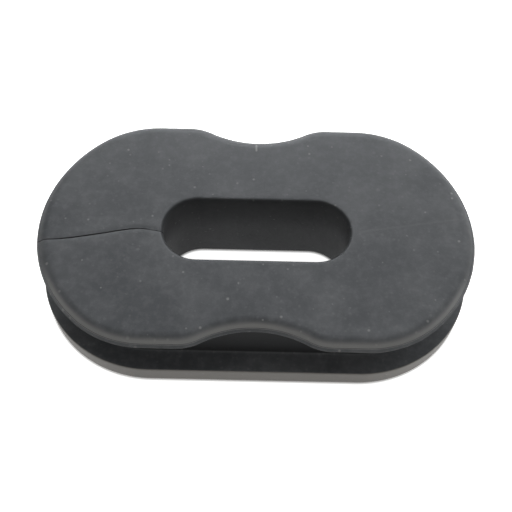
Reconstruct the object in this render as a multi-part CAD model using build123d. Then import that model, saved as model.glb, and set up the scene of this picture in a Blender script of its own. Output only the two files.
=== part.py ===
# Cable protective cover: a moulded rubber grommet that lines a long hole in a panel.
#
# One piece, four forms stacked on one another: a plain lower flange, the core that fills the
# panel hole, and a waisted upper flange, with one long cable opening through all of them.
# A slit runs from the opening out through one end, so that a cable can be laid in sideways.
#
# Frame: millimetres, origin at the middle of the face that it rests on, X along the long
# side, Y across it and Z up through the opening.
from build123d import *
import math
import os

# Plan: the core and the lower flange share the centres of their two rounded ends.
END_SPACING = 28.8  # from one end's centre to the other's
CORE_RADIUS = 13.5  # half the width of the panel hole
LOWER_OVERHANG = 3.15  # lower flange past the core, all the way round
LOBE_OVERHANG = 4.3  # upper flange past the core, across each lobe
END_OVERHANG = 2.0  # upper flange past the core, at each end
WAIST_OVERHANG = 1.75  # upper flange past the core, in the middle of each waist
WAIST_RADIUS = 14.2  # hollow of the waist
SHOULDER_RADIUS = 6.5  # turn from the waist into the lobe
LOBE_RADIUS = 13.7  # turn from the side of the lobe into its flatter end
END_FLATTENING = 1.2  # how much the radius of that end exceeds half the flange's width

# Section, from the resting face up.
LOWER_THICKNESS = 3.4  # lower flange
GROOVE_HEIGHT = 9.7  # groove that takes the panel's edge
UPPER_THICKNESS = 1.4  # upper flange, with its lip
LIP_THICKNESS = 0.5  # lip that stands out under the crown, where the mould parted
LIP_WIDTH = 0.2

# Cable opening: a round-ended slot that widens downwards.
OPENING_LENGTH = 25.5
OPENING_WIDTH = 9.5
OPENING_FLARE = 0.65  # how much further out its wall is at the resting face
OPENING_Y = -0.45  # how far it lies off the middle

# Slit, from the opening out through the -X end.
SLIT_CREST_REACH = 3.3  # from the end of the opening to the slit's crest
SLIT_START_Y = -1.2  # where it leaves the opening
SLIT_CREST_Y = -0.7
SLIT_MOUTH_Y = -2.8  # where it comes out at the end of the upper flange
SLIT_INNER_GAP = 0.12
SLIT_OUTER_GAP = 0.28

# Rounded edges, and small edges that are only broken.
CROWN_EDGE = 1.3
UPPER_LIP_EDGE = 0.5
FOOT_EDGE = 0.5
LOWER_LIP_BREAK = 0.4
RIM_BREAK = 0.2
GROOVE_FLARE = 0.4  # the core widens by this much into each corner of the groove

# Levels that follow from the section.
GROOVE_FLOOR = LOWER_THICKNESS
GROOVE_CEILING = GROOVE_FLOOR + GROOVE_HEIGHT
TOP_LEVEL = GROOVE_CEILING + UPPER_THICKNESS

# What a rounded or broken edge leaves of the wall that it is cut from.
EDGE_REST = 0.05


def eased(size, wall):
    """Return the size of an edge's rounding, no larger than its wall allows."""
    return min(size, wall - EDGE_REST)


def plain_outline(radius):
    """Return the face of a long outline with full round ends."""
    return SlotCenterToCenter(END_SPACING, 2 * radius)


def waist_curves(half_width, waist_half, hollow_radius, shoulder_radius):
    """Return a waist's hollow arc, and the shoulder arc on its +X side."""
    # The two arcs touch on the line between their centres.
    between = hollow_radius + shoulder_radius
    rise = between - (half_width - waist_half)
    run = math.sqrt(between**2 - rise**2)
    turn = math.degrees(math.atan2(run, rise))
    hollow = CenterArc((0, waist_half + hollow_radius), hollow_radius, -90 - turn, 2 * turn)
    return hollow, CenterArc((run, half_width - shoulder_radius), shoulder_radius, 90, turn)


def lobe_curves(half_width, half_length, lobe_radius):
    """Return a lobe's corner arc on its +Y side, and the flatter arc across its +X end."""
    # The two arcs touch on the line through their centres.
    end_radius = half_width + END_FLATTENING
    between = end_radius - lobe_radius
    rise = half_width - lobe_radius
    run = math.sqrt(between**2 - rise**2)
    turn = math.degrees(math.atan2(rise, run))
    end_x = half_length - end_radius
    corner = CenterArc((end_x + run, rise), lobe_radius, turn, 90 - turn)
    return corner, CenterArc((end_x, 0), end_radius, -turn, 2 * turn)


def waisted_outline(grow=0.0):
    """Return the face of the upper flange's outline, moved outwards by grow."""
    half_width = CORE_RADIUS + LOBE_OVERHANG + grow
    waist_half = CORE_RADIUS + WAIST_OVERHANG + grow
    half_length = END_SPACING / 2 + CORE_RADIUS + END_OVERHANG + grow
    hollow, shoulder = waist_curves(
        half_width, waist_half, WAIST_RADIUS - grow, SHOULDER_RADIUS + grow
    )
    corner, end = lobe_curves(half_width, half_length, LOBE_RADIUS + grow)
    half_side = shoulder + Line(shoulder @ 0, corner @ 1) + corner
    side = half_side + mirror(half_side, Plane.YZ) + hollow
    return make_face(side + mirror(side, Plane.XZ) + end + mirror(end, Plane.YZ))


def slab(outline, bottom, top):
    """Return an outline raised into a solid between two levels."""
    return Pos(0, 0, bottom) * extrude(outline, top - bottom)


def lower_flange():
    """Return the plain flange, with its rim broken and its foot rounded."""
    flange = slab(plain_outline(CORE_RADIUS + LOWER_OVERHANG), 0, GROOVE_FLOOR)
    wall = LOWER_THICKNESS / 2
    flange = chamfer(flange.edges().group_by(Axis.Z)[-1], eased(RIM_BREAK, wall))
    return fillet(flange.edges().group_by(Axis.Z)[0], eased(FOOT_EDGE, wall))


def core():
    """Return the core that fills the panel hole, flared where it meets each flange."""
    flare = eased(GROOVE_FLARE, WAIST_OVERHANG)
    shaft = slab(plain_outline(CORE_RADIUS), GROOVE_FLOOR, GROOVE_CEILING)
    wide, narrow = plain_outline(CORE_RADIUS + flare), plain_outline(CORE_RADIUS)
    low = loft([Pos(0, 0, GROOVE_FLOOR) * wide, Pos(0, 0, GROOVE_FLOOR + flare) * narrow])
    high = loft([Pos(0, 0, GROOVE_CEILING - flare) * narrow, Pos(0, 0, GROOVE_CEILING) * wide])
    return shaft + low + high


def upper_flange():
    """Return the waisted flange: a crown with a rounded edge, on a thin lip."""
    crown = slab(waisted_outline(-LIP_WIDTH), GROOVE_CEILING, TOP_LEVEL)
    crown = fillet(crown.edges().group_by(Axis.Z)[-1], eased(CROWN_EDGE, UPPER_THICKNESS))
    return crown + slab(waisted_outline(), GROOVE_CEILING, GROOVE_CEILING + LIP_THICKNESS)


def solid_body():
    """Return the two flanges and the core as one."""
    return lower_flange() + core() + upper_flange()


def opening():
    """Return what the cable opening takes out, wider at the resting face than at the top."""
    low = SlotOverall(OPENING_LENGTH + 2 * OPENING_FLARE, OPENING_WIDTH + 2 * OPENING_FLARE)
    high = SlotOverall(OPENING_LENGTH, OPENING_WIDTH)
    return loft([Pos(0, OPENING_Y, 0) * low, Pos(0, OPENING_Y, TOP_LEVEL) * high], ruled=True)


def with_opening(body):
    """Cut the cable opening through the body, round its upper lip and break its lower one."""
    body -= opening()
    top = body.faces().sort_by(Axis.Z)[-1]
    land = CORE_RADIUS - OPENING_WIDTH / 2
    body = fillet(top.inner_wires()[0].edges(), eased(UPPER_LIP_EDGE, land))
    underside = body.faces().sort_by(Axis.Z)[0]
    return chamfer(underside.inner_wires()[0].edges(), eased(LOWER_LIP_BREAK, LOWER_THICKNESS / 2))


def slit_outline():
    """Return the plan of the slit: two smooth cuts that part a little towards the mouth."""
    start_x = -OPENING_LENGTH / 2 + OPENING_WIDTH / 4
    crest_x = -OPENING_LENGTH / 2 - SLIT_CREST_REACH
    mouth_x = -END_SPACING / 2 - CORE_RADIUS - END_OVERHANG
    past_x = mouth_x - LOWER_OVERHANG
    past_y = SLIT_MOUTH_Y + (SLIT_MOUTH_Y - SLIT_CREST_Y) * LOWER_OVERHANG / (crest_x - mouth_x)
    middle_gap = (SLIT_INNER_GAP + SLIT_OUTER_GAP) / 2

    def cut(side):
        return Spline(
            (start_x, SLIT_START_Y + side * SLIT_INNER_GAP / 2),
            (crest_x, SLIT_CREST_Y + side * SLIT_INNER_GAP / 2),
            ((crest_x + mouth_x) / 2, (SLIT_CREST_Y + SLIT_MOUTH_Y) / 2 + side * middle_gap / 2),
            (past_x, past_y + side * SLIT_OUTER_GAP / 2),
        )

    back, front = cut(1), cut(-1)
    return make_face(back + front + Line(back @ 0, front @ 0) + Line(back @ 1, front @ 1))


def grommet():
    """Return the finished cover, with the slit cut last."""
    return with_opening(solid_body()) - slab(slit_outline(), 0, TOP_LEVEL)


os.makedirs("parts", exist_ok=True)
cover = grommet()
cover.label = "grommet"
export_step(cover, "parts/grommet.step")
print(f"grommet: {cover.volume / 1000:.2f} cm3, box {cover.bounding_box().size}")
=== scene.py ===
"""Cable protective cover: a moulded rubber grommet that lines a long hole in a panel.

One moulding in matte black rubber: a plain lower flange, the core that fills the panel hole
and a waisted upper flange, with a long cable opening through them and a slit out to one end.
Meshes are shaped in millimetres and brought to metres once they are finished.
"""

import logging
import math
from collections.abc import Iterable
from dataclasses import dataclass, field
from enum import Enum

import bmesh
import bpy
from mathutils import Matrix, Vector, noise


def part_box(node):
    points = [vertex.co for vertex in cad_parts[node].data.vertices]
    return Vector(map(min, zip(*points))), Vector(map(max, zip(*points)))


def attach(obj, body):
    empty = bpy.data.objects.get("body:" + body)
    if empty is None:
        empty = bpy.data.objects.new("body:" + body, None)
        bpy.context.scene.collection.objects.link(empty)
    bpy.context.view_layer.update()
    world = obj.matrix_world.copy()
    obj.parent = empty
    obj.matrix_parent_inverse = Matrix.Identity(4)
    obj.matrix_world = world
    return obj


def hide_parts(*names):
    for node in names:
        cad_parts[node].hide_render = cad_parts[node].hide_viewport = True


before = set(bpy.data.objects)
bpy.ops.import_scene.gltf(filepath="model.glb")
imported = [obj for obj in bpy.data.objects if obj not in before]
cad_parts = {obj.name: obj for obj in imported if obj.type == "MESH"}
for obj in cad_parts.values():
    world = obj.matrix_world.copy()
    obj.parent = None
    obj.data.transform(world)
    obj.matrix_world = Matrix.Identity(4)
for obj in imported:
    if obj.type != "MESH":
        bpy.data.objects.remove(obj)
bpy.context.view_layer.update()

LOG = logging.getLogger("cable_cover")
MM = 0.001
NODE = "grommet"
BODY = "root"
UP = Vector((0.0, 0.0, 1.0))
ACROSS = Vector((0.0, 1.0, 0.0))
TOUCH = 1e-4  # how near, in millimetres, counts as the same place
SLIVER = 0.01  # the shortest edge that is kept, in millimetres
WAVES = ((3.1, 0.6), (0.9, 0.4))  # lengths in millimetres and shares of the lip's wander
ROUNDS = 12  # how often the slit's crossing of an arc is worked out anew, each time nearer
SHARP = math.radians(40.0)  # edges that turn further than this stay sharp


class Side(Enum):
    """The two faces of the slit, by the way that each lies from its middle line."""

    BACK = 1
    FRONT = -1


@dataclass(frozen=True)
class Move:
    """One stretch of a sweep: a turn about an upright axis, or a straight run.

    Args:
        steps: how many rows of faces it makes.
        centre: the point in plan that it turns about.
        degrees: how far it turns, anticlockwise seen from above.
        along: the straight run in plan, from its start to its end.
    """

    steps: int
    centre: tuple[float, float] = (0.0, 0.0)
    degrees: float = 0.0
    along: tuple[float, float] = (0.0, 0.0)

    def half_turned(self) -> "Move":
        """Return the same stretch on the opposite side of the middle."""
        (x, y), (run_x, run_y) = self.centre, self.along
        return Move(self.steps, (-x, -y), self.degrees, (-run_x, -run_y))


@dataclass(frozen=True)
class Route:
    """The way of a section right round the part, from one face of the slit to the other.

    Args:
        centre: the centre in X of the arc that it starts on.
        start: how far round that arc it starts, in degrees from the -X direction.
        moves: its stretches in order.
        aside: how far the whole of it is then moved in Y.
    """

    centre: float
    start: float
    moves: tuple[Move, ...]
    aside: float


class Section:
    """A section drawn as a chain of edges, in the upright plane through the X axis.

    The chain starts at the -X end and "out" is further along -X.
    """

    def __init__(self, out: float, level: float) -> None:
        """Start the chain.

        Args:
            out: how far out along -X the first point lies.
            level: the height of the first point.
        """
        self.mesh = bmesh.new()
        self.tip = self.mesh.verts.new((-out, 0.0, level))

    def _spin(self, steps: int, **turn: object) -> "Section":
        """Draw on from the tip with the spin operator.

        Args:
            steps: how many edges it makes.
            turn: the operator's own centre, axis, angle or run.

        Returns:
            The section itself, to be drawn further.
        """
        made = bmesh.ops.spin(
            self.mesh, geom=[self.tip], steps=steps, use_duplicate=False, **turn
        )
        self.tip = made["geom_last"][0]
        return self

    def run(self, out: float, up: float, steps: int = 1) -> "Section":
        """Draw a straight line.

        Args:
            out: how far it goes outwards.
            up: how far it climbs.
            steps: how many edges it has.

        Returns:
            The section itself, to be drawn further.
        """
        return self._spin(steps, axis=UP, dvec=Vector((-out, 0.0, up)) / steps, angle=0.0)

    def turn(self, out: float, up: float, degrees: float, steps: int) -> "Section":
        """Draw an arc.

        Args:
            out: how far outwards of the tip its centre lies.
            up: how far above the tip its centre lies.
            degrees: how far it turns about the +Y axis.
            steps: how many edges it has.

        Returns:
            The section itself, to be drawn further.
        """
        centre = self.tip.co + Vector((-out, 0.0, up))
        return self._spin(steps, cent=centre, axis=ACROSS, angle=math.radians(degrees))

    def sweep(self, route: Route, into: bmesh.types.BMesh) -> None:
        """Carry the chain along a route, and add the surface that it leaves to a mesh.

        Args:
            route: the way round.
            into: the mesh that the surface is added to.
        """
        live: list[bmesh.types.BMVert | bmesh.types.BMEdge] = [*self.mesh.verts, *self.mesh.edges]
        bmesh.ops.rotate(
            self.mesh,
            verts=self.mesh.verts,
            cent=(route.centre, 0.0, 0.0),
            matrix=Matrix.Rotation(math.radians(route.start), 3, "Z"),
        )
        for move in route.moves:
            live = bmesh.ops.spin(
                self.mesh,
                geom=live,
                cent=(*move.centre, 0.0),
                axis=UP,
                dvec=Vector((*move.along, 0.0)) / move.steps,
                angle=math.radians(move.degrees),
                steps=move.steps,
                use_duplicate=False,
            )["geom_last"]
        bmesh.ops.translate(self.mesh, verts=self.mesh.verts, vec=ACROSS * route.aside)
        swept = bpy.data.meshes.new("swept")
        self.mesh.to_mesh(swept)
        self.mesh.free()
        into.from_mesh(swept)
        bpy.data.meshes.remove(swept)


@dataclass
class Slit:
    """The cut from the cable opening out through the -X end.

    Args:
        knots: points on its middle line, from the opening outwards.
        inner_gap: how far it stands open at the opening.
        outer_gap: how far it stands open at the end of the part.
        belly: how much further it stands open half way.
    """

    knots: tuple[tuple[float, float], ...] = (
        (-12.2, -1.25),
        (-14.35, -0.85),
        (-16.2, -0.7),
        (-18.4, -1.05),
        (-20.2, -1.45),
        (-25.6, -2.5),
        (-28.5, -2.76),
        (-32.4, -2.96),
    )
    inner_gap: float = 0.1
    outer_gap: float = 0.04
    belly: float = 0.12

    def middle(self, x: float) -> float:
        """Return where the middle line lies across the part.

        Args:
            x: the place along the part.

        Returns:
            The Y of the line there, on smooth curves between the knots.
        """
        spots = self.knots
        place = max(min(x, spots[0][0]), spots[-1][0])
        at = next(i for i in range(len(spots) - 1) if place >= spots[i + 1][0])
        (x0, y0), (x1, y1) = spots[at], spots[at + 1]
        t = (place - x0) / (x1 - x0)
        low, high = (self._slope(i) * (x1 - x0) for i in (at, at + 1))
        rest = 1.0 - t
        bend = t * rest * (rest * (low - (y1 - y0)) - t * (high - (y1 - y0)))
        return y0 * rest + y1 * t + bend

    def _slope(self, at: int) -> float:
        """Return the slope of the middle line at one of its knots.

        Args:
            at: which knot, from the opening outwards.

        Returns:
            How far the line moves across the part for each step along it.
        """
        before = self.knots[max(at - 1, 0)]
        after = self.knots[min(at + 1, len(self.knots) - 1)]
        return (after[1] - before[1]) / (after[0] - before[0])

    def edge(self, x: float, side: Side) -> float:
        """Return where one face of the slit lies across the part.

        Args:
            x: the place along the part.
            side: which of the two faces.

        Returns:
            The Y of that face.
        """
        first, last = self.knots[0][0], self.knots[-1][0]
        share = min(max((x - first) / (last - first), 0.0), 1.0)
        gap = self.inner_gap + (self.outer_gap - self.inner_gap) * share
        gap += self.belly * math.sin(math.pi * share)
        return self.middle(x) + side.value * gap / 2

    def crossing(self, centre: tuple[float, float], radius: float, side: Side) -> float:
        """Return how far round an end the slit crosses it.

        Args:
            centre: the centre of the end's arc in plan.
            radius: the radius of the arc.
            side: which face of the slit.

        Returns:
            The angle from the -X direction, anticlockwise, in degrees.
        """
        angle = 0.0
        for _ in range(ROUNDS):
            y = self.edge(centre[0] - radius * math.cos(angle), side)
            angle = math.asin((centre[1] - y) / radius)
        return math.degrees(angle)


@dataclass
class Grommet:
    """The moulding, with all its sizes in millimetres.

    Args:
        length: over the lower flange.
        height: from the resting face to the flat top.
        lower_radius: the round ends of the lower flange.
        core_radius: the round ends of the core.
        lobe_overhang: how far the lobes stand out over the core's long sides.
        end_overhang: how far the upper flange stands out over the core's ends.
        waist_overhang: how far the waists stand out over the core's long sides.
        waist_radius: the hollow of a waist.
        shoulder_radius: the shoulders on both sides of a waist.
        lobe_radius: the corners of the lobes.
        end_flattening: how much flatter than a half circle each end of the lobes is.
        lower_thickness: the lower flange.
        groove_height: from the lower flange to the upper one.
        lip_thickness: the lip under the crown.
        lip_width: how far the lip stands out beyond the crown.
        opening_length: the cable opening at the top.
        opening_width: the cable opening at the top.
        opening_flare: how much the opening widens all round on its way down.
        opening_y: where the middle of the opening lies across the part.
        crown_radius: the rounding from the flat top down to the crown's slope.
        crown_slope: how steep that slope is, in degrees.
        lip_step: the small flat step where the mould parts.
        lip_edge: the rounding under the lip.
        upper_lip_edge: the rounding at the top of the opening.
        lower_lip_edge: the rounding at the foot of the opening.
        rim_edge: the rounding at the top of the lower flange.
        foot_edge: the rounding at the foot of the lower flange.
        groove_fillet: the hollow corners of the groove.
        ruffle: how far the lip's edge wanders either way.
        slit_reach: how far from the slit the rows of a flat face still follow it.
        slit_sink: how far the top's edges sink into the slit.
        slit_spread: how far from the slit that sinking fades.
        slit_strips: how many upright strips each face of the slit is made of.
        top_rings: how many rings are put into the flat top.
        ceiling_rings: how many rings are put into the groove's ceiling.
        foot_rings: how many rings are put into the resting face.
        end_steps: rows of faces round each end.
        lobe_steps: rows round each corner of the lobes.
        straight_steps: rows along each straight run between a corner and a shoulder.
        shoulder_steps: rows round each shoulder.
        waist_steps: rows round each waist.
        slit: the cut through the -X end.
    """

    length: float
    height: float
    lower_radius: float = 16.65
    core_radius: float = 13.5
    lobe_overhang: float = 4.3
    end_overhang: float = 2.0
    waist_overhang: float = 1.75
    waist_radius: float = 14.2
    shoulder_radius: float = 6.5
    lobe_radius: float = 13.7
    end_flattening: float = 1.2
    lower_thickness: float = 3.4
    groove_height: float = 9.7
    lip_thickness: float = 0.7
    lip_width: float = 0.35
    opening_length: float = 25.5
    opening_width: float = 9.5
    opening_flare: float = 0.65
    opening_y: float = -0.45
    crown_radius: float = 1.9
    crown_slope: float = 45.0
    lip_step: float = 0.07
    lip_edge: float = 0.25
    upper_lip_edge: float = 0.5
    lower_lip_edge: float = 0.4
    rim_edge: float = 0.2
    foot_edge: float = 0.5
    groove_fillet: float = 0.4
    ruffle: float = 0.04
    slit_reach: float = 5.0
    slit_sink: float = 0.06
    slit_spread: float = 0.3
    slit_strips: int = 24
    top_rings: int = 20
    ceiling_rings: int = 3
    foot_rings: int = 12
    end_steps: int = 56
    lobe_steps: int = 20
    straight_steps: int = 14
    shoulder_steps: int = 11
    waist_steps: int = 36
    slit: Slit = field(default_factory=Slit)

    def __post_init__(self) -> None:
        """Work out the sizes and levels that follow from the others."""
        self.spacing = self.length - 2 * self.lower_radius
        self.ceiling = self.lower_thickness + self.groove_height
        self.parting = self.ceiling + self.lip_thickness
        self.half_length = self.spacing / 2 + self.core_radius + self.end_overhang
        self.mesh = bmesh.new()

    def _around(self, centre: tuple[float, float], radius: float, half: list[Move]) -> Route:
        """Return the route right round, from slit face to slit face.

        Args:
            centre: the centre of the -X end's arc in plan.
            radius: the radius of that arc.
            half: the stretches from -X to +X along the back, with whole end arcs.

        Returns:
            The route for Section.sweep.
        """
        back = self.slit.crossing(centre, radius, Side.BACK)
        front = self.slit.crossing(centre, radius, Side.FRONT)
        path = half + [move.half_turned() for move in half]
        first, last = path[0], path[-1]
        path[0] = Move(first.steps, first.centre, first.degrees - back)
        path[-1] = Move(last.steps, last.centre, last.degrees + front)
        return Route(centre[0], back, tuple(path), centre[1])

    def plain_route(self, spacing: float, radius: float, aside: float = 0.0) -> Route:
        """Return the route round a long outline with full round ends.

        Args:
            spacing: from one end's centre to the other's.
            radius: the radius of the ends.
            aside: how far the outline lies off the middle, in Y.

        Returns:
            The route for Section.sweep.
        """
        side_steps = self.waist_steps + 2 * (self.shoulder_steps + self.straight_steps)
        round_steps = self.end_steps + self.lobe_steps
        half = [
            Move(round_steps, (-spacing / 2, 0.0), -90.0),
            Move(side_steps, along=(spacing, 0.0)),
            Move(round_steps, (spacing / 2, 0.0), -90.0),
        ]
        return self._around((-spacing / 2, aside), radius, half)

    def waisted_route(self) -> Route:
        """Work out the tangent arcs and straight runs of the upper flange's outline.

        Returns:
            The route round it, along its lip, for Section.sweep.
        """
        half_width = self.core_radius + self.lobe_overhang
        waist_half = self.core_radius + self.waist_overhang
        # The shoulder and the hollow touch on the line between their centres.
        between = self.waist_radius + self.shoulder_radius
        rise = between - (half_width - waist_half)
        swing = math.sqrt(between**2 - rise**2)
        bend = math.degrees(math.atan2(swing, rise))
        # The corner and the flatter end touch on the line through their centres.
        end_radius = half_width + self.end_flattening
        corner_y = half_width - self.lobe_radius
        corner_run = math.sqrt((end_radius - self.lobe_radius) ** 2 - corner_y**2)
        end_x = self.half_length - end_radius
        corner_x = end_x + corner_run
        end_bend = math.degrees(math.atan2(corner_y, corner_run))
        shoulder_y = half_width - self.shoulder_radius
        half = [
            Move(self.end_steps, (-end_x, 0.0), -end_bend),
            Move(self.lobe_steps, (-corner_x, corner_y), end_bend - 90.0),
            Move(self.straight_steps, along=(corner_x - swing, 0.0)),
            Move(self.shoulder_steps, (-swing, shoulder_y), -bend),
            Move(self.waist_steps, (0.0, waist_half + self.waist_radius), 2 * bend),
            Move(self.shoulder_steps, (swing, shoulder_y), -bend),
            Move(self.straight_steps, along=(corner_x - swing, 0.0)),
            Move(self.lobe_steps, (corner_x, corner_y), end_bend - 90.0),
            Move(self.end_steps, (end_x, 0.0), -end_bend),
        ]
        return self._around((-end_x, 0.0), end_radius, half)

    def sweep_upper_flange(self) -> None:
        """Make the rounded crown and the thin lip that slopes on outwards under it."""
        crown, lip, step = self.crown_radius, self.lip_edge, self.lip_step
        slope = math.radians(self.crown_slope)
        fall = self.height - self.parting - crown * (1.0 - math.cos(slope))
        spread = fall / math.tan(slope)
        inner = self.half_length - self.lip_width - spread - crown * math.sin(slope)
        section = Section(inner, self.height)
        section.turn(0.0, -crown, degrees=-self.crown_slope, steps=10)
        section.run(spread, -fall, steps=3)
        section.run(step, 0.0)
        section.run(self.lip_width - step, lip - self.lip_thickness, steps=3)
        section.turn(-lip, 0.0, degrees=-90.0, steps=5)
        section.sweep(self.waisted_route(), self.mesh)

    def sweep_core(self) -> None:
        """Make the core's wall, rounded into the lower flange's top, side and foot."""
        fillet, rim, foot = self.groove_fillet, self.rim_edge, self.foot_edge
        wall = self.groove_height - 2 * fillet
        shelf = self.lower_radius - self.core_radius - fillet - rim
        section = Section(self.spacing / 2 + self.core_radius + fillet, self.ceiling)
        section.turn(0.0, -fillet, degrees=90.0, steps=4)
        section.run(0.0, -wall, steps=10)
        section.turn(fillet, 0.0, degrees=90.0, steps=4)
        section.run(shelf, 0.0, steps=6)
        section.turn(0.0, -rim, degrees=-90.0, steps=4)
        section.run(0.0, rim + foot - self.lower_thickness, steps=6)
        section.turn(-foot, 0.0, degrees=-90.0, steps=6)
        section.sweep(self.plain_route(self.spacing, self.core_radius), self.mesh)

    def sweep_opening(self) -> None:
        """Make the sloping wall of the cable opening, with its two lips."""
        low, high = self.lower_lip_edge, self.upper_lip_edge
        section = Section(self.opening_length / 2 + self.opening_flare + low, 0.0)
        section.turn(0.0, low, degrees=-90.0, steps=4)
        section.run(-self.opening_flare, self.height - low - high, steps=16)
        section.turn(high, 0.0, degrees=-90.0, steps=8)
        spacing = self.opening_length - self.opening_width
        route = self.plain_route(spacing, self.opening_width / 2, self.opening_y)
        section.sweep(route, self.mesh)

    def bridge(self, level: float, cuts: int) -> None:
        """Join the two rings that end at one level by a flat face, in rows.

        Args:
            level: the height of the rings.
            cuts: how many rings are put in between.
        """
        rings = [
            edge
            for edge in self.mesh.edges
            if len(edge.link_faces) == 1
            and all(abs(vert.co.z - level) < TOUCH for vert in edge.verts)
        ]
        faces = bmesh.ops.bridge_loops(self.mesh, edges=rings)["faces"]
        known = set(rings)
        # A set's order changes from run to run, and with it the numbers of the new vertices.
        spokes = dict.fromkeys(edge for face in faces for edge in face.edges if edge not in known)
        bmesh.ops.subdivide_edgering(
            self.mesh, edges=list(spokes), cuts=cuts, interp_mode="LINEAR", smooth=0.0
        )

    def follow_slit(self, level: float) -> None:
        """Bend the rows of a flat face to the slit's middle line, fading with distance.

        Args:
            level: the height of the face.
        """
        flat = [vert for vert in self.mesh.verts if abs(vert.co.z - level) < TOUCH]
        rim = [vert.co.x for vert in flat if vert.is_boundary]
        inner, outer = max(rim), min(rim)
        inner_y, outer_y = self.slit.middle(inner), self.slit.middle(outer)
        for vert in flat:
            share = (vert.co.x - inner) / (outer - inner)
            if not 0.0 < share < 1.0:
                continue
            chord = inner_y + (outer_y - inner_y) * share
            fade = max(0.0, 1.0 - abs(vert.co.y - chord) / self.slit_reach) ** 2
            vert.co.y += fade * (self.slit.middle(vert.co.x) - chord)

    def close_slit(self) -> None:
        """Bring both ends of the surface to the slit and close them with its two faces."""
        rims: dict[Side, list[bmesh.types.BMEdge]] = {side: [] for side in Side}
        for edge in self.mesh.edges:
            if edge.is_boundary:
                start, end = (vert.co for vert in edge.verts)
                away = edge.link_faces[0].calc_center_median() - (start + end) / 2
                rims[Side.BACK if away.y > 0.0 else Side.FRONT].append(edge)
        outer, inner = self.slit.knots[-1][0], self.slit.knots[0][0]
        for side, rim in rims.items():
            self._to_slit({vert for edge in rim for vert in edge.verts}, side)
            filled = bmesh.ops.triangle_fill(self.mesh, use_beauty=True, edges=rim, normal=ACROSS)
            wall = filled["geom"]
            for strip in range(1, self.slit_strips):
                place = (inner + (outer - inner) * strip / self.slit_strips, 0.0, 0.0)
                faces = [part for part in wall if isinstance(part, bmesh.types.BMFace)]
                edges = dict.fromkeys(edge for face in faces for edge in face.edges)
                verts = dict.fromkeys(vert for face in faces for vert in face.verts)
                wall = bmesh.ops.bisect_plane(
                    self.mesh,
                    geom=[*verts, *edges, *faces],
                    dist=TOUCH,
                    plane_co=place,
                    plane_no=(1.0, 0.0, 0.0),
                )["geom"]
            self._to_slit({part for part in wall if isinstance(part, bmesh.types.BMVert)}, side)
        self._clear_slivers()

    def _to_slit(self, verts: Iterable[bmesh.types.BMVert], side: Side) -> None:
        """Move vertices in Y on to one face of the slit."""
        for vert in verts:
            vert.co.y = self.slit.edge(vert.co.x, side)

    def _clear_slivers(self) -> None:
        """Take out the needle-thin faces that the slit left, and keep the foot flat."""
        bmesh.ops.dissolve_degenerate(self.mesh, dist=SLIVER, edges=self.mesh.edges)
        for vert in self.mesh.verts:
            if abs(vert.co.z) < SLIVER:
                vert.co.z = 0.0

    def ruffle_lip(self) -> None:
        """Let the lip's edge wander in long and short waves, as it does where a mould parts."""
        for vert in self.mesh.verts:
            beyond = math.hypot(max(abs(vert.co.x) - self.spacing / 2, 0.0), vert.co.y)
            if (
                self.ceiling - TOUCH < vert.co.z < self.parting + TOUCH
                and beyond > self.core_radius + 2 * self.groove_fillet
            ):
                plan = Vector((vert.co.x, vert.co.y, 0.0))
                wander = sum(share * noise.noise(plan / wave) for wave, share in WAVES)
                outward = Vector((vert.normal.x, vert.normal.y, 0.0))
                vert.co += outward * self.ruffle * wander

    def soften_slit(self) -> None:
        """Let the top's edges sink a little into the slit, as cut rubber does."""
        for vert in self.mesh.verts:
            if vert.co.z > self.parting and vert.co.x < -self.spacing / 4:
                side = Side.BACK if vert.co.y > self.slit.middle(vert.co.x) else Side.FRONT
                away = abs(vert.co.y - self.slit.edge(vert.co.x, side))
                vert.co.z -= self.slit_sink * math.exp(-((away / self.slit_spread) ** 2))

    def _sort_faces(self) -> None:
        """List the edges and faces by their vertices, as the operators' own order varies."""
        self.mesh.verts.index_update()
        count = len(self.mesh.verts)

        def rank(part: bmesh.types.BMEdge | bmesh.types.BMFace) -> int:
            """Return a number that rises with the part's lowest vertices."""
            first, second, *rest = sorted(vert.index for vert in part.verts)
            return (first * count + second) * count + (rest[0] if rest else 0)

        self.mesh.edges.sort(key=rank)
        self.mesh.faces.sort(key=rank)

    def build(self) -> bpy.types.Object:
        """Make the whole moulding.

        Returns:
            The finished piece, in metres.
        """
        self.sweep_upper_flange()
        self.sweep_core()
        self.sweep_opening()
        self.bridge(self.height, self.top_rings)
        self.bridge(self.ceiling, self.ceiling_rings)
        self.bridge(0.0, self.foot_rings)
        bmesh.ops.recalc_face_normals(self.mesh, faces=self.mesh.faces)
        self.mesh.normal_update()
        self.ruffle_lip()
        self.follow_slit(self.height)
        self.follow_slit(0.0)
        self._sort_faces()
        self.close_slit()
        self.soften_slit()
        self._sort_faces()
        bmesh.ops.recalc_face_normals(self.mesh, faces=self.mesh.faces)
        for edge in self.mesh.edges:
            edge.smooth = edge.calc_face_angle(0.0) < SHARP
        for face in self.mesh.faces:
            face.smooth = True
        bmesh.ops.scale(self.mesh, vec=(MM, MM, MM), verts=self.mesh.verts)
        data = bpy.data.meshes.new("grommet_moulding")
        self.mesh.to_mesh(data)
        self.mesh.free()
        piece = bpy.data.objects.new("grommet_moulding", data)
        bpy.context.scene.collection.objects.link(piece)
        return piece


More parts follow.
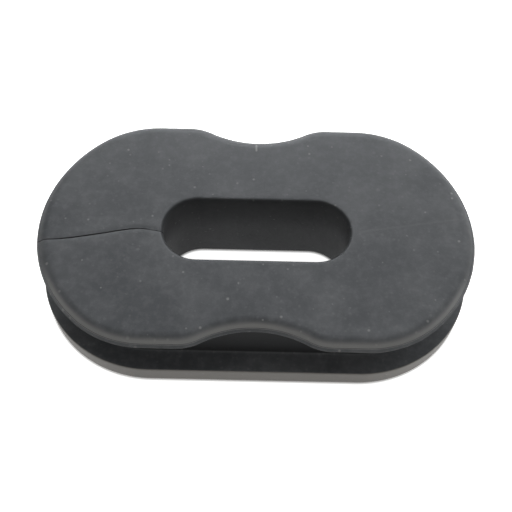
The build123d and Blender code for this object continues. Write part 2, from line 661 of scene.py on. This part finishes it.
class Nodes:
    """A node tree that is laid out by calls."""

    def __init__(self, tree: bpy.types.NodeTree) -> None:
        """Take the tree to add to."""
        self.tree = tree

    def add(
        self, kind: str, settings: dict[str, object] | None = None, **inputs: object
    ) -> bpy.types.Node:
        """Add one node.

        Args:
            kind: the node's type, without its ShaderNode prefix.
            settings: the node's own properties.
            inputs: values or output sockets for its inputs, by name in lower case with
                underscores, or by i and number.

        Returns:
            The node.
        """
        node = self.tree.nodes.new(f"ShaderNode{kind}")
        for name, value in (settings or {}).items():
            setattr(node, name, value)
        names = {socket.name.lower().replace(" ", "_"): socket for socket in reversed(node.inputs)}
        for name, value in inputs.items():
            socket = node.inputs[int(name[1:])] if name[1:].isdigit() else names[name]
            if isinstance(value, bpy.types.NodeSocket):
                self.tree.links.new(value, socket)
            else:
                socket.default_value = value
        return node

    def group(self, tree: bpy.types.NodeTree, **inputs: object) -> bpy.types.NodeSocket:
        """Add a node group and return its output."""
        return self.add("Group", {"node_tree": tree}, **inputs).outputs[0]

    def math(self, operation: str, a: object, b: object = 0.0) -> bpy.types.NodeSocket:
        """Add a Math node and return its output."""
        return self.add("Math", {"operation": operation}, i0=a, i1=b).outputs[0]

    def blend(self, share: object, first: object, second: object) -> bpy.types.NodeSocket:
        """Add a node that mixes two numbers, and return its output."""
        return self.add("Mix", {"data_type": "FLOAT"}, i0=share, i2=first, i3=second).outputs[0]

    def tint(self, share: object, first: object, second: object) -> bpy.types.NodeSocket:
        """Add a node that mixes two colours, and return its output."""
        return self.add("Mix", {"data_type": "RGBA"}, i0=share, i6=first, i7=second).outputs[2]

    def ramp(self, value: object, low: float, high: float) -> bpy.types.NodeSocket:
        """Add a node that runs smoothly from 0 at low to 1 at high, and return its output."""
        settings = {"interpolation_type": "SMOOTHSTEP"}
        return self.add("MapRange", settings, value=value, from_min=low, from_max=high).outputs[0]


def new_group(
    name: str, inputs: dict[str, float | tuple[float, float, float]], outputs: dict[str, str]
) -> tuple[bpy.types.NodeTree, Nodes, dict[str, bpy.types.NodeSocket], bpy.types.Node]:
    """Make an empty shader node group.

    Args:
        name: the group's name.
        inputs: the default of each input, a number or a vector.
        outputs: the socket type of each output.

    Returns:
        The group's tree, its Nodes, its input sockets by name and its output node.
    """
    tree = bpy.data.node_groups.new(name, "ShaderNodeTree")
    for label, default in inputs.items():
        plain = isinstance(default, float)
        kind = "NodeSocketFloat" if plain else "NodeSocketVector"
        socket = tree.interface.new_socket(label, in_out="INPUT", socket_type=kind)
        socket.default_value = default
    for label, kind in outputs.items():
        tree.interface.new_socket(label, in_out="OUTPUT", socket_type=kind)
    source = tree.nodes.new("NodeGroupInput")
    sink = tree.nodes.new("NodeGroupOutput")
    return tree, Nodes(tree), {socket.name: socket for socket in source.outputs}, sink


def specks_group() -> bpy.types.NodeTree:
    """Make the group that scatters small round specks of dust over a surface.

    Returns:
        The group. Spacing is in metres, Size is a speck's radius as a part of the spacing,
        and Share is the part of the places that hold a speck.
    """
    # A radius lies between smallest and 1 + smallest times Size, and few specks are strong.
    smallest, soft_from, faintest, rarity = 0.4, 0.3, 0.15, 2.5
    tree, nodes, given, sink = new_group(
        "Specks",
        {"Vector": (0.0, 0.0, 0.0), "Spacing": 0.001, "Size": 0.2, "Share": 0.1},
        {"Mask": "NodeSocketFloat"},
    )
    per_metre = nodes.math("DIVIDE", 1.0, given["Spacing"])
    cells = nodes.add(
        "TexVoronoi", {"feature": "F1"}, vector=given["Vector"], scale=per_metre, randomness=1.0
    )
    chance = nodes.add("SeparateColor", color=cells.outputs["Color"])
    kept = nodes.math("LESS_THAN", chance.outputs[0], given["Share"])
    radius = nodes.math("MULTIPLY", given["Size"], nodes.math("ADD", smallest, chance.outputs[1]))
    depth = nodes.math("DIVIDE", cells.outputs["Distance"], radius)
    spot = nodes.math("SUBTRACT", 1.0, nodes.ramp(depth, soft_from, 1.0))
    strength = nodes.math("ADD", faintest, nodes.math("POWER", chance.outputs[2], rarity))
    mask = nodes.math("MULTIPLY", nodes.math("MULTIPLY", kept, spot), strength)
    tree.links.new(mask, sink.inputs["Mask"])
    return tree


def distance_group() -> bpy.types.NodeTree:
    """Make the group that measures how far a point lies from a segment in plan.

    Returns:
        The group. Its vectors and its distance are in metres.
    """
    origin = (0.0, 0.0, 0.0)
    tree, nodes, given, sink = new_group(
        "SegmentDistance",
        {"Vector": origin, "Start": origin, "End": origin},
        {"Distance": "NodeSocketFloat"},
    )

    def vector_math(operation: str, a: object, b: object) -> bpy.types.Node:
        """Add a Vector Math node and return it."""
        return nodes.add("VectorMath", {"operation": operation}, i0=a, i1=b)

    flat = vector_math("MULTIPLY", given["Vector"], (1.0, 1.0, 0.0)).outputs[0]
    line = vector_math("SUBTRACT", given["End"], given["Start"]).outputs[0]
    reach = vector_math("SUBTRACT", flat, given["Start"]).outputs[0]
    along = nodes.math(
        "DIVIDE",
        vector_math("DOT_PRODUCT", reach, line).outputs["Value"],
        vector_math("DOT_PRODUCT", line, line).outputs["Value"],
    )
    share = nodes.math("MINIMUM", nodes.math("MAXIMUM", along, 0.0), 1.0)
    foot = nodes.add("VectorMath", {"operation": "SCALE"}, i0=line, scale=share).outputs[0]
    away = vector_math("DISTANCE", reach, foot).outputs["Value"]
    tree.links.new(away, sink.inputs["Distance"])
    return tree


@dataclass(frozen=True)
class Blotches:
    """One size of blotches in the bloom.

    Args:
        scale: how many there are to a metre.
        detail: how many finer layers they have.
        roughness: how strong each finer layer is.
        starts: the strength of the pattern at which the bloom starts.
        full: the strength at which the bloom is full.
        share: how much of the bloom they make.
    """

    scale: float
    detail: float
    roughness: float
    starts: float
    full: float
    share: float


@dataclass(frozen=True)
class Dusting:
    """One grade of dust, as the inputs of the specks group.

    Args:
        spacing: from speck to speck, in metres.
        size: a speck's radius as a part of the spacing.
        share: the part of the places that hold a speck.
    """

    spacing: float
    size: float
    share: float


@dataclass(frozen=True)
class MouldMark:
    """A thin pale line that the mould left on the top, in metres.

    Args:
        start: where it starts in plan.
        end: where it ends in plan.
        reach: how far from its middle it has faded out.
        strength: how much of the dust's colour it takes.
        core: how far from its middle it stays whole.
    """

    start: tuple[float, float]
    end: tuple[float, float]
    reach: float
    strength: float
    core: float = 0.00005


@dataclass(frozen=True)
class Areas:
    """Which part of the surface a point is on, as masks from 0 to 1.

    Args:
        top: everything from the crown's parting upwards.
        crown: the slope round the upper flange, where the painted highlight goes.
        side: the outer side of the lower flange.
        wall: the walls of the groove and of the opening, as the share of painted shade that each
            takes.
    """

    top: bpy.types.NodeSocket
    crown: bpy.types.NodeSocket
    side: bpy.types.NodeSocket
    wall: bpy.types.NodeSocket


@dataclass(frozen=True)
class Rubber:
    """Matte black moulded rubber with a faint bloom, dust and mould marks, and with painted
    highlights on its outer sides and painted shade in its groove and opening.

    Args:
        colour: the plain rubber.
        bloom: the rubber where its wax has come to the surface.
        crown: the pale colour of the slope round the upper flange, a painted highlight for the
            light that the slope reflects.
        side: the pale colour of the outer side of the lower flange, a painted reflection of the
            bright table in front.
        dust: the specks on it.
        groove_shade: how much of its colour the wall of the groove keeps under the painted shade in
            the groove.
        opening_shares: how much of that painted shade the wall of the opening takes, low down and
            at its top, so that it is painted darker under the upper lip.
        opening_level: the height up to which that wall takes the first share.
        roughness: of the flat faces, from plain rubber to full bloom.
        rim_roughness: of the outer sides.
        wall_roughness: of the walls of the groove and the opening.
        specular: how strongly all of it shines.
        axis: half the length of the middle line that the part runs along.
        inside: how far from that line the inner walls end and the outer ones start.
        inside_fade: how gradually they do.
        levels: the heights of the groove's floor and ceiling and of the crown's parting.
        level_fade: how gradually the finish changes at those heights.
        tilts: the upright part of the normal on a flat face and on a steep one.
        front: where across the part the crown's painted highlight starts and where it is full,
            towards the front.
        rear_light: how much of that painted highlight the rest of the crown has.
        blotches: the bloom, coarse and fine.
        dustings: the grades of dust.
        dust_strength: how much of the dust's colour a speck takes.
        wall_dust: the same on the inner walls.
        marks: the knit line of the right lobe and the streak at the far waist.
        grain_scale: how many grains there are to a metre.
        grain_strength: how strongly the grain shows.
        grain_depth: how deep it is, in metres.
    """

    colour: tuple[float, float, float] = (0.045, 0.048, 0.052)
    bloom: tuple[float, float, float] = (0.087, 0.09, 0.094)
    crown: tuple[float, float, float] = (0.183, 0.184, 0.181)
    side: tuple[float, float, float] = (0.148, 0.14, 0.128)
    dust: tuple[float, float, float] = (0.3, 0.3, 0.29)
    groove_shade: float = 0.27
    opening_shares: tuple[float, float] = (0.15, 0.75)
    opening_level: float = 0.0065
    roughness: tuple[float, float] = (0.58, 0.67)
    rim_roughness: float = 0.5
    wall_roughness: float = 0.85
    specular: float = 0.36
    axis: float = 0.0144
    inside: float = 0.0125
    inside_fade: float = 0.0005
    levels: tuple[float, float, float] = (0.0034, 0.0131, 0.0138)
    level_fade: float = 0.0001
    tilts: tuple[float, float] = (0.97, 0.75)
    front: tuple[float, float] = (-0.0055, -0.011)
    rear_light: float = 0.1
    blotches: tuple[Blotches, Blotches] = (
        Blotches(scale=160.0, detail=4.0, roughness=0.6, starts=0.35, full=0.7, share=0.6),
        Blotches(scale=900.0, detail=3.0, roughness=0.65, starts=0.4, full=0.7, share=0.4),
    )
    dustings: tuple[Dusting, Dusting] = (
        Dusting(spacing=0.0008, size=0.28, share=0.6),
        Dusting(spacing=0.0033, size=0.09, share=0.4),
    )
    dust_strength: float = 0.4
    wall_dust: float = 0.08
    marks: tuple[MouldMark, MouldMark] = (
        MouldMark((0.0141, -0.0005), (0.0277, 0.0019), reach=0.00025, strength=0.045),
        MouldMark((-0.00026, 0.0144), (-0.00024, 0.0131), reach=0.00022, strength=0.5),
    )
    grain_scale: float = 3500.0
    grain_strength: float = 0.25
    grain_depth: float = 0.00004

    def _areas(
        self, nodes: Nodes, coordinates: bpy.types.NodeOutputs, segment: bpy.types.NodeTree
    ) -> Areas:
        """Tell the parts of the surface apart by place and tilt.

        Args:
            nodes: the material's nodes.
            coordinates: the outputs of the material's Texture Coordinate node.
            segment: the group that measures from a segment in plan.

        Returns:
            The masks.
        """
        fade = self.level_fade
        low, high, parting = self.levels
        place = coordinates["Object"]
        across, height = nodes.add("SeparateXYZ", vector=place).outputs[1:]
        facing = nodes.add("SeparateXYZ", vector=coordinates["Normal"]).outputs[2]
        steep = nodes.ramp(nodes.math("ABSOLUTE", facing), *self.tilts)
        ends = {"start": (-self.axis, 0.0, 0.0), "end": (self.axis, 0.0, 0.0)}
        from_axis = nodes.group(segment, vector=place, **ends)
        outside = nodes.ramp(from_axis, self.inside, self.inside + self.inside_fade)
        inside = nodes.ramp(from_axis, self.inside, self.inside - self.inside_fade)
        in_groove = nodes.math(
            "MULTIPLY",
            nodes.ramp(height, low, low + 2 * fade),
            nodes.ramp(height, high + fade, high - fade),
        )
        # Painted shade: the opening's wall is darker towards its top, under the upper lip.
        lift = nodes.ramp(height, self.opening_level, parting)
        opening = nodes.math("MULTIPLY", steep, inside)
        top = nodes.ramp(height, parting - fade, parting)
        # Painted highlight: the crown's pale colour is full on the front and faint behind, as if
        # the front were lit.
        front_light = nodes.blend(nodes.ramp(across, *self.front), self.rear_light, 1.0)
        rim = nodes.math("MULTIPLY", steep, outside)
        return Areas(
            top=top,
            crown=nodes.math("MULTIPLY", rim, nodes.math("MULTIPLY", top, front_light)),
            side=nodes.math("MULTIPLY", rim, nodes.ramp(height, low + fade, low - fade)),
            # Painted shade in the groove and in the opening.
            wall=nodes.math(
                "MAXIMUM",
                nodes.math("MULTIPLY", in_groove, outside),
                nodes.math("MULTIPLY", opening, nodes.blend(lift, *self.opening_shares)),
            ),
        )

    def _bloom(self, nodes: Nodes, place: bpy.types.NodeSocket) -> bpy.types.NodeSocket:
        """Lay out the bloom.

        Args:
            nodes: the material's nodes.
            place: the Object coordinates.

        Returns:
            How much bloom there is, from 0 to 1.
        """
        layers = []
        for kind in self.blotches:
            pattern = nodes.add(
                "TexNoise",
                vector=place,
                scale=kind.scale,
                detail=kind.detail,
                roughness=kind.roughness,
            ).outputs[0]
            layer = nodes.ramp(pattern, kind.starts, kind.full)
            layers.append(nodes.math("MULTIPLY", kind.share, layer))
        return nodes.math("ADD", *layers)

    def _dust(self, nodes: Nodes, place: bpy.types.NodeSocket) -> bpy.types.NodeSocket:
        """Lay out the dust.

        Args:
            nodes: the material's nodes.
            place: the Object coordinates.

        Returns:
            How much dust there is, from 0 to 1.
        """
        specks = specks_group()
        layers = [
            nodes.group(
                specks, vector=place, spacing=grade.spacing, size=grade.size, share=grade.share
            )
            for grade in self.dustings
        ]
        return nodes.math("MAXIMUM", *layers)

    def _marks(
        self, nodes: Nodes, place: bpy.types.NodeSocket, segment: bpy.types.NodeTree
    ) -> bpy.types.NodeSocket:
        """Lay out the lines that the mould left.

        Args:
            nodes: the material's nodes.
            place: the Object coordinates.
            segment: the group that measures from a segment in plan.

        Returns:
            How much of the dust's colour the lines take, at any height.
        """
        layers = []
        for mark in self.marks:
            ends = {"start": (*mark.start, 0.0), "end": (*mark.end, 0.0)}
            away = nodes.group(segment, vector=place, **ends)
            line = nodes.ramp(away, mark.reach, mark.core)
            layers.append(nodes.math("MULTIPLY", mark.strength, line))
        return nodes.math("ADD", *layers)

    def material(self) -> bpy.types.Material:
        """Lay out the finish on Object coordinates.

        Returns:
            The finish as a material.
        """
        material = bpy.data.materials.new("moulded_rubber")
        material.use_nodes = True
        material.node_tree.nodes.clear()
        nodes = Nodes(material.node_tree)
        coordinates = nodes.add("TexCoord").outputs
        place = coordinates["Object"]
        segment = distance_group()
        areas = self._areas(nodes, coordinates, segment)
        bloom = self._bloom(nodes, place)

        # The rubber's own colour, and then what lies on it: painted highlights on the crown and on
        # the lower flange's side, painted shade on the inner walls, then dust and mould marks.
        shade = tuple(part * self.groove_shade for part in self.colour)
        base = nodes.tint(bloom, (*self.colour, 1.0), (*self.bloom, 1.0))
        # Painted highlight on the crown's slope, for the light that it reflects.
        base = nodes.tint(areas.crown, base, (*self.crown, 1.0))
        # Painted reflection of the bright table on the lower flange's outer side.
        base = nodes.tint(areas.side, base, (*self.side, 1.0))
        # Painted shade on the walls of the groove and of the opening.
        base = nodes.tint(areas.wall, base, (*shade, 1.0))
        dust_strength = nodes.blend(areas.wall, self.dust_strength, self.wall_dust)
        dust = nodes.math("MULTIPLY", self._dust(nodes, place), dust_strength)
        marks = nodes.math("MULTIPLY", self._marks(nodes, place, segment), areas.top)
        colour = nodes.tint(nodes.math("ADD", dust, marks), base, (*self.dust, 1.0))

        # The crown and the lower flange's side, which carry the painted highlights, are a little
        # smoother too.
        outer_sides = nodes.math("MAXIMUM", areas.crown, areas.side)
        plain = nodes.blend(bloom, *self.roughness)
        roughness = nodes.blend(outer_sides, plain, self.rim_roughness)
        grain = nodes.add(
            "TexNoise", vector=place, scale=self.grain_scale, detail=2.0, roughness=0.6
        ).outputs[0]
        bump = nodes.add(
            "Bump", strength=self.grain_strength, distance=self.grain_depth, height=grain
        )
        shader = nodes.add(
            "BsdfPrincipled",
            base_color=colour,
            roughness=nodes.blend(areas.wall, roughness, self.wall_roughness),
            specular_ior_level=self.specular,
            normal=bump.outputs[0],
        )
        nodes.add("OutputMaterial", surface=shader.outputs[0])
        return material


@dataclass(frozen=True)
class Viewpoint:
    """Where the camera stands, in millimetres and degrees.

    Args:
        aim: the point that it looks at.
        azimuth: how far round to the right of straight on it stands.
        elevation: how far above the horizon it stands.
        roll: how far it leans, clockwise.
        distance: from the aim.
        focal: its lens.
        sensor: the width that the lens fills.
        near: the nearest thing that it shows, in metres.
        far: the farthest thing that it shows, in metres.
    """

    aim: tuple[float, float, float] = (0.06, 2.93, 1.76)
    azimuth: float = -0.48
    elevation: float = 59.1
    roll: float = 1.68
    distance: float = 116.8
    focal: float = 53.89
    sensor: float = 36.0
    near: float = 0.005
    far: float = 20.0

    def place(self) -> None:
        """Add the camera and make it the scene's own."""
        camera = bpy.data.cameras.new("camera")
        camera.lens = self.focal
        camera.sensor_width = self.sensor
        camera.clip_start, camera.clip_end = self.near, self.far
        turned = (
            Matrix.Rotation(math.radians(self.azimuth), 3, "Z")
            @ Matrix.Rotation(math.radians(90.0 - self.elevation), 3, "X")
            @ Matrix.Rotation(math.radians(self.roll), 3, "Z")
        )
        back = turned.col[2]
        holder = bpy.data.objects.new("camera", camera)
        holder.location = (Vector(self.aim) + back * self.distance) * MM
        holder.rotation_euler = turned.to_euler()
        bpy.context.scene.collection.objects.link(holder)
        bpy.context.scene.camera = holder


@dataclass(frozen=True)
class SoftLamp:
    """A large soft lamp that points at the middle of the part.

    Args:
        name: what it is called.
        azimuth: which way it stands, in degrees, 0 in front and 180 behind.
        elevation: how far above the horizon, in degrees.
        power: in watts.
        colour: its light.
        distance: how far away, in metres.
        size: its width and height, in metres.
    """

    name: str
    azimuth: float
    elevation: float
    power: float
    colour: tuple[float, float, float] = (1.0, 1.0, 1.0)
    distance: float = 0.7
    size: tuple[float, float] = (0.5, 0.22)

    def place(self) -> None:
        """Add the lamp to the scene."""
        lamp = bpy.data.lights.new(self.name, "AREA")
        lamp.shape = "RECTANGLE"
        lamp.size, lamp.size_y = self.size
        lamp.energy = self.power
        lamp.color = self.colour
        turn, rise = math.radians(self.azimuth), math.radians(self.elevation)
        level = math.cos(rise)
        back = Vector((math.sin(turn) * level, -math.cos(turn) * level, math.sin(rise)))
        holder = bpy.data.objects.new(self.name, lamp)
        holder.location = back * self.distance
        holder.rotation_euler = back.to_track_quat("Z", "Y").to_euler()
        bpy.context.scene.collection.objects.link(holder)


@dataclass(frozen=True)
class Studio:
    """The white table, the soft light and the view.

    Args:
        floor_colour: the table top.
        floor_glow: how brightly the table top is seen, where 1 is white.
        contact: how wide the shadow is where the part touches the table, in metres.
        contact_depth: how fast that shadow darkens towards the part.
        contact_samples: how finely that shadow is drawn.
        table_size: half the width of the table, in metres.
        table_level: its height, a hair over the part's foot, so that the foot itself is
            never hidden in it when it is looked at from below.
        world_colour: the light all round.
        world_strength: the strength of that light.
        view: the camera.
        lamps: the soft lamps.
    """

    floor_colour: tuple[float, float, float] = (0.9, 0.895, 0.885)
    floor_glow: float = 0.95
    contact: float = 0.0004
    contact_depth: float = 2.0
    contact_samples: int = 8
    table_size: float = 3.0
    table_level: float = 0.00001
    world_colour: tuple[float, float, float] = (0.96, 0.98, 1.0)
    world_strength: float = 0.2
    view: Viewpoint = Viewpoint()
    lamps: tuple[SoftLamp, ...] = (
        SoftLamp("back", 180.0, 35.0, 0.4, (0.96, 0.98, 1.0), distance=0.22, size=(0.16, 0.07)),
        SoftLamp("right_low", 130.0, 20.0, 1.6, (0.97, 0.985, 1.0)),
        SoftLamp("right_high", 130.0, 45.0, 0.65, (0.97, 0.985, 1.0)),
        SoftLamp("above", 0.0, 89.0, 0.35),
        SoftLamp("front_high", 0.0, 60.0, 0.42, (1.0, 0.97, 0.93)),
        SoftLamp("front_low", 0.0, 25.0, 0.5, (1.0, 0.95, 0.88)),
        SoftLamp("right", 80.0, 20.0, 0.25),
        SoftLamp("left", 280.0, 20.0, 0.35),
    )

    def floor_material(self) -> bpy.types.Material:
        """Make the white table top, which keeps a faint shadow where the part touches it.

        Returns:
            The material. It is clear from below, so that the part's foot can be looked at.
        """
        material = bpy.data.materials.new("white_table")
        material.use_nodes = True
        material.node_tree.nodes.clear()
        nodes = Nodes(material.node_tree)
        path = nodes.add("LightPath").outputs
        mirrored = nodes.math("MAXIMUM", path["Is Glossy Ray"], path["Is Transmission Ray"])
        seen = nodes.math("MAXIMUM", path["Is Camera Ray"], mirrored)
        settings = {"samples": self.contact_samples}
        near = nodes.add("AmbientOcclusion", settings, distance=self.contact).outputs["AO"]
        open_share = nodes.math("POWER", near, self.contact_depth)
        strength = nodes.math("MULTIPLY", seen, nodes.math("MULTIPLY", open_share, self.floor_glow))
        lit = nodes.add("BsdfDiffuse", color=(*self.floor_colour, 1.0)).outputs[0]
        glow = nodes.add("Emission", color=(1.0, 1.0, 1.0, 1.0), strength=strength).outputs[0]
        both = nodes.add("AddShader", i0=lit, i1=glow).outputs[0]
        beneath = nodes.add("NewGeometry").outputs["Backfacing"]
        clear = nodes.add("BsdfTransparent").outputs[0]
        surface = nodes.add("MixShader", fac=beneath, i1=both, i2=clear).outputs[0]
        nodes.add("OutputMaterial", surface=surface)
        return material

    def build(self) -> None:
        """Add the table, the world, the lamps and the camera."""
        plane = bmesh.new()
        bmesh.ops.create_grid(plane, x_segments=1, y_segments=1, size=self.table_size)
        bmesh.ops.translate(plane, verts=plane.verts, vec=UP * self.table_level)
        data = bpy.data.meshes.new("table_top")
        plane.to_mesh(data)
        plane.free()
        table = bpy.data.objects.new("table_top", data)
        data.materials.append(self.floor_material())
        bpy.context.scene.collection.objects.link(table)
        world = bpy.data.worlds.new("studio")
        world.use_nodes = True
        world.node_tree.nodes.clear()
        nodes = Nodes(world.node_tree)
        seen = nodes.add("LightPath").outputs["Is Camera Ray"]
        strength = nodes.blend(seen, self.world_strength, 1.0)
        sky = nodes.add("Background", color=(*self.world_colour, 1.0), strength=strength)
        nodes.add("OutputWorld", surface=sky.outputs[0])
        bpy.context.scene.world = world
        for lamp in self.lamps:
            lamp.place()
        self.view.place()
        bpy.context.scene.view_settings.view_transform = "Standard"


def main() -> None:
    """Build the part and its surroundings, and report each."""
    logging.basicConfig(level=logging.INFO, format="%(name)s: %(message)s")
    low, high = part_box(NODE)
    grommet = Grommet(length=(high.x - low.x) / MM, height=(high.z - low.z) / MM)
    piece = grommet.build()
    piece.data.materials.append(Rubber().material())
    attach(piece, BODY)
    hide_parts(NODE)
    LOG.info("%s: %d faces", piece.name, len(piece.data.polygons))
    Studio().build()
    LOG.info("studio: table, world, lamps and camera")


if __name__ == "__main__":
    main()
